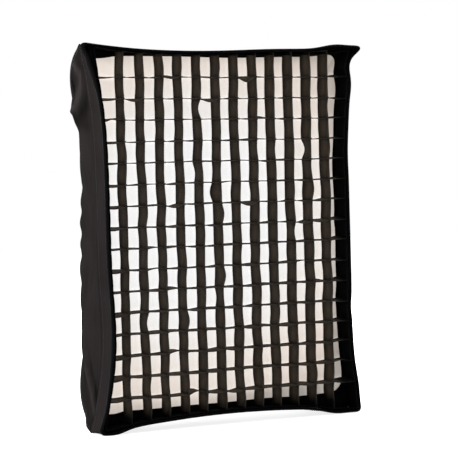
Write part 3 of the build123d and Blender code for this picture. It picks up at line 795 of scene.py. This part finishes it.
seam_line = lip_surface()[2]
stitches = []
for points, height in ((hem_rows[11], 0.0002), (hem_rows[6], -0.0002), (seam_line, 0.0002)):
    out = outward_in_section(points)
    stitches += stitch_line(points + out * height, out * np.sign(height), closed=True)
for side in ("left", "right", "top", "bottom"):
    for end in (-0.982, 0.982):
        d = SEAM_DEPTH - SEAM_RADIUS * np.sin(SLOPE_REAR + (SLOPE_FRONT - SLOPE_REAR) * np.linspace(0.05, 0.99, 90))
        points = panel(side, d, np.array([end - 0.004, end, end + 0.004]))
        n = normals_of(points)
        n *= np.sign((n * points * [1, 0, 1]).sum())
        stitches += stitch_line(points[:, 1] + n[:, 1] * 0.0002, n[:, 1])
join_meshes("seam_stitching", stitches, [thread], "housing")


# ------------------------------------------------------------------ front diffuser
def patch(side_points, n, m):
    """A grid filled in between four edges (Coons): top, bottom, left, right, as functions of -1..1."""
    a, b = spread(n), spread(m)
    top, bottom, left, right = (side_points[k] for k in ("top", "bottom", "left", "right"))
    p, q = (a[None, :, None] + 1) / 2, (b[:, None, None] + 1) / 2
    T, B, L, R = top(a)[None], bottom(a)[None], left(b)[:, None], right(b)[:, None]
    return ((1 - q) * B + q * T + (1 - p) * L + p * R
            - ((1 - p) * (1 - q) * bottom(np.array([-1.0]))[None] + p * (1 - q) * bottom(np.array([1.0]))[None]
               + (1 - p) * q * top(np.array([-1.0]))[None] + p * q * top(np.array([1.0]))[None])), a, b


def rim_edges(depth, inset):
    return {side: (lambda u, side=side: skin(side, u, np.full(len(u), depth), inset)) for side in LOOP_SIDES}


DIFFUSER_DEPTH = 0.4220
points, a, b = patch(rim_edges(DIFFUSER_DEPTH, SLIDING_INSET + 0.0003), 121, 141)
x, z = points[..., 0], points[..., 2]
to_edge = np.minimum.reduce([0.29 - np.abs(x) + 0 * z, 0.386 - np.abs(z)])
wrinkle = 0.0010 * noise(x, z, 71, 0.06) + 0.0012 * noise(x, z * 0.3, 72, 0.035) * smooth(1 - to_edge / 0.10)
for cx, cz, size, turn in ((0.31, 0.40, 0.0045, 0.3), (-0.31, 0.40, 0.0022, 1.0), (-0.31, -0.40, 0.0022, 2.0),
                           (0.31, -0.40, 0.0030, 3.0)):
    r, angle = np.hypot(x - cx, z - cz), np.arctan2(np.abs(z - cz), np.abs(x - cx))
    wrinkle = wrinkle + size * np.sin(angle * 11 + turn) * np.exp(-((r / 0.11) ** 2)) * smooth(r / 0.03)
side_room = np.minimum(1 - np.abs(a)[None], 0 * b[:, None] + 1) * 0.29 - 0.004
room = np.minimum.reduce([side_room, 0.376 - z, z + 0.3625, np.hypot(x - 0.292, z + 0.392) - 0.045])
wrinkle = np.clip(wrinkle, -0.0020 - 0.0037 * smooth((room - 0.018) / 0.025), 0.0055)
wrinkle = wrinkle * np.where(wrinkle > 0, smooth(room / 0.022), smooth((room + 0.030) / 0.025))
points[..., 1] -= wrinkle
# painted shade on the diffuser's glow: darker along its bottom, top and right-hand edges, more so towards the right,
# and in the dips of the wrinkles at its top right corner
to_right = smooth((x + 0.12) / 0.36)
edge = np.maximum.reduce([(0.30 + 0.55 * to_right) * smooth((-z - 0.340 + 0.012 * to_right) / 0.020),
                          (0.22 + 0.30 * to_right) * smooth((z - 0.360) / 0.020),
                          (0.45 + 0.30 * smooth((-z - 0.05) / 0.25)) * smooth((x - 0.256) / 0.022)])
curl = hump(np.hypot(x - 0.300, z - 0.395), 0.0, 0.045)
edge = np.clip(edge + 0.5 * curl * np.clip(-wrinkle / 0.003, -0.6, 1), 0, 1)
diffuser = cloth("diffuser_front", points, CLOTH["diffuser"], [diffuser_white, diffuser_white], "diffuser",
                 ["front_diffuser"], toward=(0, -1, 0), attributes={"edge": edge})

n = len(LOOP_U)
tape_outer = rim_loop(DIFFUSER_DEPTH, SLIDING_INSET, TAPE_CORNER)


def white_bounds():
    """The line where the white cloth starts, as (x, z): nearly straight above and below, rounded at its corners."""
    outer = rim_loop(DIFFUSER_DEPTH, SLIDING_INSET)
    corner = [outer[k * n] for k in range(4)]
    shift = [np.array(v) for v in ((0.012, -0.024), (-0.016, -0.012), (-0.020, 0.032), (0.010, 0.030))]
    line = np.empty_like(outer)
    for k in range(4):
        a, b = corner[k], corner[(k + 1) % 4]
        pa, pb = a + shift[k], b + shift[(k + 1) % 4]
        i = k % 2                                  # 0 where the side runs along x, 1 along z
        points = outer[k * n:(k + 1) * n]
        t = (points[:, i] - a[i]) / (b[i] - a[i])
        row = np.empty_like(points)
        row[:, i] = pa[i] + (pb[i] - pa[i]) * t
        x, z = row[:, 0], row[:, 1]
        if k == 0:
            row[:, 1] = 0.3792 - 0.0028 * hump(x, 0.03, 0.09) + 0.006 * smooth((x - 0.20) / 0.10) \
                - 0.005 * smooth((-x - 0.23) / 0.05)
        elif k == 2:
            row[:, 1] = -0.3625 + 0.0012 * noise(x, 0, 83, 0.06) - 0.005 * smooth((-x - 0.235) / 0.03)
        else:
            side = 0.0045 + 0.0015 * noise(z, 0, 84 + k, 0.07) + (np.abs(pa[0] - a[0]) - 0.0045) * np.exp(-t / 0.035) \
                + (np.abs(pb[0] - b[0]) - 0.0045) * np.exp(-(1 - t) / 0.035)
            if k == 1:
                side = side + 0.004 * smooth((-z - 0.10) / 0.20)
            row[:, 0] = points[:, 0] - np.sign(points[:, 0]) * side
        line[k * n:(k + 1) * n] = row
    for k, radius in enumerate((0.020, 0.026, 0.036, 0.016)):
        line = rounded(line, [k * n], radius)
    return line


tape_inner = white_bounds()
front_rows = []
for depth, inset in ((0.4181, 0.010), (0.4181, 0.0001), (0.4232, 0.0001), (0.4238, None), (0.4228, None),
                     (0.4226, 0.0012), (0.4208, 0.0012), (0.4193, 0.010)):
    if inset is None:
        loop = tape_inner if depth > 0.423 else tape_inner + (tape_outer - tape_inner) * 0.03
    else:
        loop = rim_loop(depth, SLIDING_INSET + inset, TAPE_CORNER)
    front_rows.append(at_depth(loop, depth))
border = band("diffuser_edge_tape", front_rows, [lip_inside], "diffuser", ["diffuser_border"])

# ------------------------------------------------------------------ grid
STRIP_T = np.array([0.0, 0.06, 0.13, 0.17, 0.34, 0.5, 0.66, 0.83, 0.87, 0.94, 1.0])   # across a strip, rear to front
STRIP_HALF = np.array([0.45, 0.85, 0.85, 0.45, 0.42, 0.42, 0.42, 0.45, 0.85, 0.85, 0.45]) * 0.001


def pinned(at, pins, rng, bow, wander):
    """Sideways wandering of a strip's edge: it bows freely between the crossings that pin it."""
    pins = np.asarray(pins)
    ends = np.concatenate([[pins[0] - CELL], pins, [pins[-1] + CELL]])
    values = np.concatenate([[0], rng.normal(0, wander, len(pins)), [0]])
    bows = rng.normal(0, bow, len(ends) - 1) * np.where(rng.random(len(ends) - 1) < 0.09, 5.0, 1.0)
    k = np.clip(np.searchsorted(ends, at) - 1, 0, len(ends) - 2)
    t = np.clip((at - ends[k]) / (ends[k + 1] - ends[k]), 0, 1)
    return values[k] + (values[k + 1] - values[k]) * smooth(t) + bows[k] * np.sin(math.pi * t) ** 1.3


def strip(name, centre, along, lie, rear, front, pins, replaces):
    """A grid strip: centre and lie give points from (place along, sideways, depth)."""
    camber = 0.0012 * noise(along, centre, int(abs(centre) * 1e4) + 3, 0.05)
    sideways = [rear + (front - rear) * t + camber * (1 - (2 * t - 1) ** 2) for t in STRIP_T]
    depths = GRID_REAR + (GRID_FRONT - GRID_REAR) * STRIP_T
    # nearness to a crossing, for darkening there that is partly the sewn joint and partly painted shade
    crossing_joint_and_shade = hump(np.min(np.abs(along[:, None] - np.asarray(pins)[None]), 1), 0, 0.0035)
    out = [np.stack([lie(along, centre + s + sign * h, d) for s, h, d in zip(sideways, STRIP_HALF, depths)])
           for sign in (1, -1)]
    section = np.concatenate([out[0], out[1][::-1]])
    across = np.concatenate([STRIP_T, STRIP_T[::-1]])
    m, k = section.shape[:2]
    quads, uv_at = grid_faces(m + 1, k)
    uv = lay_uv(np.concatenate([section, section[:1]]))
    quads = quads % (m * k)
    caps = [[i * k for i in range(m)], [i * k + k - 1 for i in range(m)][::-1]]
    uvs = np.concatenate([uv[uv_at].reshape(-1, 2), np.zeros((2 * m, 2))])
    ob = new_mesh(name, section.reshape(-1, 3), [*quads.tolist(), *caps], uvs, None, [grid_cloth],
                  {"across": np.repeat(across, k), "crossing_joint_and_shade": np.tile(crossing_joint_and_shade, m)})
    outward(ob)
    finish_piece(ob, "grid", replaces)


column_x = [(k - COLUMNS / 2) * CELL for k in range(1, COLUMNS)]
row_z = [(k - ROWS / 2) * CELL for k in range(1, ROWS)]
inner = SLIDING_INSET + 0.0014


def edge_at(side, value, depth):
    """Where the grid's border lies across from value: the z of its top or bottom at x, or the x of a side at z."""
    u = np.linspace(-1, 1, 161)
    p = skin(side, u, np.full(161, depth), inner)
    keys, out = (p[:, 0], p[:, 2]) if side in ("top", "bottom") else (p[:, 2], p[:, 0])
    return float(np.interp(value, keys, out))


for k, x0 in enumerate(column_x, 1):
    rng = np.random.default_rng(100 + k)
    low, high = edge_at("bottom", x0, 0.45), edge_at("top", x0, 0.45)
    at = np.linspace(low, high, 153)
    common = pinned(at, row_z, rng, 0.0003, 0.0008)
    rear = common + pinned(at, row_z, rng, 0.0006, 0.0003) - 0.0004
    front = common + pinned(at, row_z, rng, 0.0007, 0.0004) + 0.0004
    strip(f"grid_column_{k:02d}", x0, at, lambda a, s, d: np.stack([s, np.full(len(a), -d), a], -1),
          rear, front, row_z, ["grid_columns"])
for k, z0 in enumerate(row_z, 1):
    rng = np.random.default_rng(200 + k)
    low, high = edge_at("left", z0, 0.45), edge_at("right", z0, 0.45)
    at = np.linspace(low, high, 131)
    common = pinned(at, column_x, rng, 0.0005, 0.0006)
    sag = -0.0006 * np.sin(math.pi * np.clip((at - column_x[0]) / CELL % 1, 0, 1)) ** 2
    left_end, right_end = smooth((column_x[0] - at) / 0.040), smooth((at - column_x[-1]) / 0.042)
    rear = 0.0008 + common + sag + pinned(at, column_x, rng, 0.0004, 0.0003) + 0.0015 * left_end \
        + rng.uniform(0.0, 0.006) * right_end
    front = -0.0008 + common + sag + pinned(at, column_x, rng, 0.0007, 0.0003) - rng.uniform(0.001, 0.006) * left_end \
        + rng.uniform(-0.002, 0.003) * right_end
    strip(f"grid_row_{k:02d}", z0, at, lambda a, s, d: np.stack([a, np.full(len(a), -d), s], -1),
          rear, front, column_x, ["grid_rows"])

tacks = []
rng = np.random.default_rng(300)
for x0 in column_x:
    for z0 in row_z:
        for sign in (-1, 1):
            lean = rng.uniform(-0.0010, 0.0010, 2)
            tacks.append(thread_bar((x0 - 0.0022 + lean[0], -0.4712, z0 - sign * 0.0020),
                                    (x0 + 0.0022, -0.4712, z0 + sign * 0.0020 + lean[1]), (0, -1, 0), TACK_RADIUS))
join_meshes("grid_tacks", tacks, [thread], "grid")
rows = []
for d in np.linspace(GRID_REAR, GRID_FRONT, 7):
    t = (d - GRID_REAR) / (GRID_FRONT - GRID_REAR)
    loop = rim_loop(d, SLIDING_INSET, TAPE_CORNER)
    x, z = loop[:, 0], loop[:, 1]
    lean = 0.001 + smooth((z - 0.34) / 0.03) * 0.005 * smooth((x + 0.10) / 0.25)
    cells = np.where(np.abs(z) > 0.37, x - column_x[0], z - row_z[0]) / CELL
    inward = t * (lean + 0.0012 * np.abs(np.sin(math.pi * cells)))
    z = z - np.sign(z) * inward * smooth((np.abs(z) - 0.34) / 0.02)
    x = x - np.sign(x) * inward * smooth((np.abs(x) - 0.26) / 0.02)
    rows.append(at_depth(np.stack([x, z], -1), d))
grid_band = cloth("grid_edge_band", np.array(rows), CLOTH["grid_border"], [lip_inside, lip_inside], "grid",
                  ["grid_border"], closed=True)

# ------------------------------------------------------------------ inner baffle
half = BAFFLE_REACH * np.array([ACROSS, UP])


def baffle_edges(inset, depth):
    hx, hz = half - inset
    mx, mz = half - BAFFLE_DIP - inset

    def edge(x, z):
        return at_depth(np.stack([x, z], -1), depth)

    return {"top": lambda u: edge(hx * u, mz + (hz - mz) * u**2),
            "bottom": lambda u: edge(hx * u, -mz - (hz - mz) * u**2),
            "left": lambda u: edge(-mx - (hx - mx) * u**2 + 0.004 * (1 - u**2) ** 2, hz * u),
            "right": lambda u: edge(mx + (hx - mx) * u**2, hz * u)}


points, a, b = patch(baffle_edges(0.001, BAFFLE_DEPTH + 0.001), 61, 71)
points[..., 1] += 0.0035 * noise(points[..., 0], points[..., 2], 91, 0.12) * smooth(
    np.minimum(1 - np.abs(a)[None], 1 - np.abs(b)[:, None]) / 0.15)
baffle = cloth("baffle_sheet", points, CLOTH["baffle"], [baffle_cloth, baffle_cloth], "housing",
               ["inner_baffle"], toward=(0, -1, 0))


def baffle_loop(inset, depth):
    e = baffle_edges(inset, depth)
    return np.concatenate([e[side](side_u(side)) for side in LOOP_SIDES])


rows = [baffle_loop(inset, d) for inset, d in (
    (-0.0008, 0.2362), (-0.0008, 0.2345), (0.0, 0.2338), (0.017, 0.2342), (0.018, 0.2350), (0.018, 0.2360),
    (0.017, 0.2373), (0.0, 0.2376))]
binding = band("baffle_binding", rows, [white_thread], "housing", ["baffle_border"])

STRAP_ROWS, STRAP_COLUMNS, STRAP_CLOTH = 15, 5, 0.0014
straps = []
cx, cz, mx, mz = outline(BAFFLE_DEPTH)
t = np.linspace(0, 1, STRAP_ROWS)
strap_depth = 0.2383 + 0.004 * np.sin(math.pi * np.clip(t / 0.62, 0, 1)) ** 2 - 0.0012 * smooth((t - 0.6) / 0.2)
quads, _ = grid_faces(STRAP_ROWS, STRAP_COLUMNS)
m = STRAP_ROWS * STRAP_COLUMNS
rim = [*range(0, 5), *range(9, 75, 5), *range(73, 69, -1), *range(65, 0, -5)]          # round the strap's edge
strap_faces = [*quads.tolist(), *(quads[:, ::-1] + m).tolist(),
               *([p, r, r + m, p + m] for p, r in zip(rim, rim[1:] + rim[:1]))]
for sign in (-1, 1):
    for place in (-0.45, 0.45):
        for axis, far, mid in ((0, cx, mx), (1, cz, mz)):       # 0: the strap runs along x, 1: along z
            start = mid + (far - mid) * place**2 - (0.013 if axis == 0 and sign < 0 else 0.004)
            middle = half[axis] - BAFFLE_DIP[axis]
            end = middle + (half[axis] - middle) * place**2 - 0.012
            across = place * half[1 - axis] + np.linspace(-0.010, 0.010, STRAP_COLUMNS)
            g = np.array([[(sign * o, -d, w) if axis == 0 else (w, -d, sign * o) for w in across]
                          for o, d in zip(start + (end - start) * t, strap_depth)])
            straps.append((np.concatenate([g.reshape(-1, 3), (g + [0, STRAP_CLOTH, 0]).reshape(-1, 3)]), strap_faces))
strap_piece = join_meshes("baffle_strap_loops", straps, [webbing], "housing", ["baffle_straps"])

# ------------------------------------------------------------------ rear collar, seams and pockets
angle = np.linspace(0, math.tau, 361)[:-1]
rows = []
for t in np.linspace(0, 1, 9):
    r = 0.0764 + (0.0912 - 0.0764) * t
    ripple = 0.0007 * np.sin(angle * 64 + 0.6 * np.sin(angle * 5)) * math.sin(math.pi * min(1, t * 1.2)) \
        + 0.0004 * np.sin(angle * 23)
    d = 0.0262 + 0.0016 * t - ripple
    rows.append(np.stack([r * np.cos(angle), -d, r * np.sin(angle)], -1))
collar = cloth("elastic_gather", np.array(rows), CLOTH["collar"], [elastic, elastic], "housing",
               ["rear_collar"], closed=True, toward=(0, 1, 0))

welts = []
for sx, sz in QUADRANTS.values():
    d = SEAM_DEPTH - SEAM_RADIUS * np.sin(SLOPE_REAR + (SLOPE_FRONT - SLOPE_REAR) * np.linspace(0.012, 1, 80))
    path = skin("right" if sx > 0 else "left", np.full(80, float(sz)), d)
    radius = 0.0016 * smooth(np.linspace(0, 12, 80)) + 0.0002
    welts.append(tube(path, radius, 8))
join_meshes("seam_welts", welts, [webbing], "housing")


def pocket(sx, sz):
    """A webbing cup over a rod's tip, with its tab sewn to the shell's corner."""
    arc = SEAM_RADIUS - 0.018
    front = math.asin((SEAM_DEPTH - 0.400) / arc)
    centre = np.array([sx * (SEAM_REACH + arc * math.cos(front)) * ACROSS, -0.400,
                       sz * (SEAM_REACH + arc * math.cos(front)) * UP])
    ahead = np.array([sx * math.sin(front) * ACROSS, -math.cos(front), sz * math.sin(front) * UP])
    out = np.array([sx * ACROSS, 0, sz * UP])
    out = out - ahead * out.dot(ahead)
    out /= np.linalg.norm(out)
    side = np.cross(ahead, out)
    w = np.linspace(0, math.tau, 29)[:-1]
    outer = ((-0.013, 0.0070), (-0.0122, 0.0075), (-0.009, 0.0072), (-0.002, 0.0070), (0.003, 0.0069),
             (0.0062, 0.0056), (0.0072, 0.0030), (0.0074, 0.0004))
    inside = ((0.0058, 0.0004), (0.0056, 0.0030), (0.0044, 0.0050), (-0.002, 0.0055), (-0.009, 0.0058),
              (-0.0128, 0.0060))
    rings = [centre + ahead * a + r * (np.cos(w)[:, None] * out * 1.04 + np.sin(w)[:, None] * side)
             for a, r in (*outer, *inside)]
    v = np.concatenate(rings)
    k, c = len(rings), 28
    f = [[i * c + j, i * c + (j + 1) % c, ((i + 1) % k) * c + (j + 1) % c, ((i + 1) % k) * c + j]
         for i in range(k) for j in range(c)]
    tab = []
    reach_out = 0.0015 if (sx, sz) == (-1, -1) else 0.0055
    for t in np.linspace(0, 1, 9):
        base = centre + ahead * (-0.013 + 0.020 * t) + out * 0.0070
        tab.append([base + side * s + out * h
                    for s, h in ((-0.0016, 0), (-0.0016, reach_out), (0.0016, reach_out), (0.0016, 0))])
    return [(v, f), (np.concatenate(tab), tube_faces(len(tab), 4))]


for q, (sx, sz) in QUADRANTS.items():
    cup = join_meshes(f"tip_pocket_{q}", pocket(sx, sz), [webbing], "housing", [f"corner_pocket_{q}"])

# ------------------------------------------------------------------ vents and their flaps
def vent_grid(side, half_width, low, high, lift, cols, rows):
    """Points over a vent, lifted off the panel; low and high are distances from the axis."""
    d = np.interp(np.linspace(low, high, rows), outline(shell_depths())[3], shell_depths())
    d = np.repeat(d[:, None], cols, 1)
    x = np.repeat(np.linspace(-half_width, half_width, cols)[None], rows, 0)
    u = x / outline(d)[0]
    return raised(skin(side, u, d), folds(side, u, d) * VENT_FOLDS + lift)


for side in ("top", "bottom"):
    net_points = vent_grid(side, 0.044, 0.126, 0.170, -0.0016, 37, 19)
    flat = net_points.reshape(-1, 3)
    quads, _ = grid_faces(19, 37)
    ob = new_mesh(f"vent_net_{side}", flat, quads, None, None, [net])
    wire = ob.modifiers.new("net", "WIREFRAME")
    wire.thickness, wire.use_replace, wire.use_even_offset = 0.0006, True, False
    finish_piece(ob, "housing", [f"vent_mesh_{side}"])

    frame_points = vent_grid(side, 0.050, 0.1215, 0.1755, 0.0009, 51, 28)
    keep = ~in_window(frame_points, 0.0385, 0.1315, 0.1645)
    binding = cloth(f"vent_binding_{side}", frame_points, CLOTH["vent_tape"], [webbing, webbing], "housing",
                    keep=keep)
    flap_points = vent_grid(side, 0.055, 0.120, 0.1803, 0.0034, 45, 27)
    flap = cloth(f"flap_{side}", flap_points, CLOTH["flap"], [nylon, lip_inside], f"vent_flap_{side}",
                 [f"vent_flap_{side}"])

# ------------------------------------------------------------------ stage, light and camera
low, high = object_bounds()
floor_z = min(low.z, cad_low.z)
floor = bpy.data.objects.new("floor", bpy.data.meshes.new("floor"))
floor.data.from_pydata([(-8, -6, floor_z), (8, -6, floor_z), (8, 8, floor_z), (-8, 8, floor_z)], [], [(0, 1, 2, 3)])
bpy.context.scene.collection.objects.link(floor)
pale = Nodes("pale_floor")
pale.set(Base_Color=pale.mix(pale.noise(3.0, 2.0), (0.42, 0.42, 0.42), (0.46, 0.46, 0.46)), Roughness=0.9,
         Specular_IOR_Level=0.0, Emission_Color=(1.0, 1.0, 1.0), Emission_Strength=0.80)
floor.data.materials.append(pale.mat)

world = bpy.data.worlds.new("studio")
bpy.context.scene.world = world
world.use_nodes = True
world.node_tree.nodes["Background"].inputs["Color"].default_value = (1, 1, 1, 1)
world.node_tree.nodes["Background"].inputs["Strength"].default_value = 1.0


def soft_light(name, place, target, size, power):
    data = bpy.data.lights.new(name, "AREA")
    data.shape, data.size, data.size_y, data.energy = "RECTANGLE", size[0], size[1], power
    ob = bpy.data.objects.new(name, data)
    bpy.context.scene.collection.objects.link(ob)
    ob.location = place
    ob.rotation_euler = (Vector(target) - Vector(place)).to_track_quat("-Z", "Y").to_euler()


soft_light("key", (-2.9, -0.7, 2.9), (0, -0.2, 0), (1.0, 1.4), 420)
soft_light("front_fill", (-1.4, -3.9, 2.7), (0, -0.3, 0.1), (1.6, 1.6), 60)
soft_light("right_rear", (3.0, 1.9, 1.9), (0, -0.2, 0), (1.0, 1.0), 420)
soft_light("left_rear", (-2.2, 3.4, 1.6), (0, -0.1, 0), (1.0, 1.0), 260)

camera = bpy.data.objects.new("camera", bpy.data.cameras.new("camera"))
bpy.context.scene.collection.objects.link(camera)
camera.data.sensor_width, camera.data.lens = 36.0, 154.4
turn = (Matrix.Rotation(math.radians(-28.1), 3, "Z") @ Matrix.Rotation(math.radians(-1.95), 3, "X")
        @ Matrix.Rotation(math.radians(1.35), 3, "Y"))
right, ahead, above = turn.col[0], turn.col[1], turn.col[2]
pose = Matrix((right, above, -ahead)).transposed().to_4x4()
pose.translation = Vector((-1.970, -4.147, 0.153))
camera.matrix_world = pose
camera.data.clip_end = 60
bpy.context.scene.camera = camera
bpy.context.scene.view_settings.view_transform = "Standard"
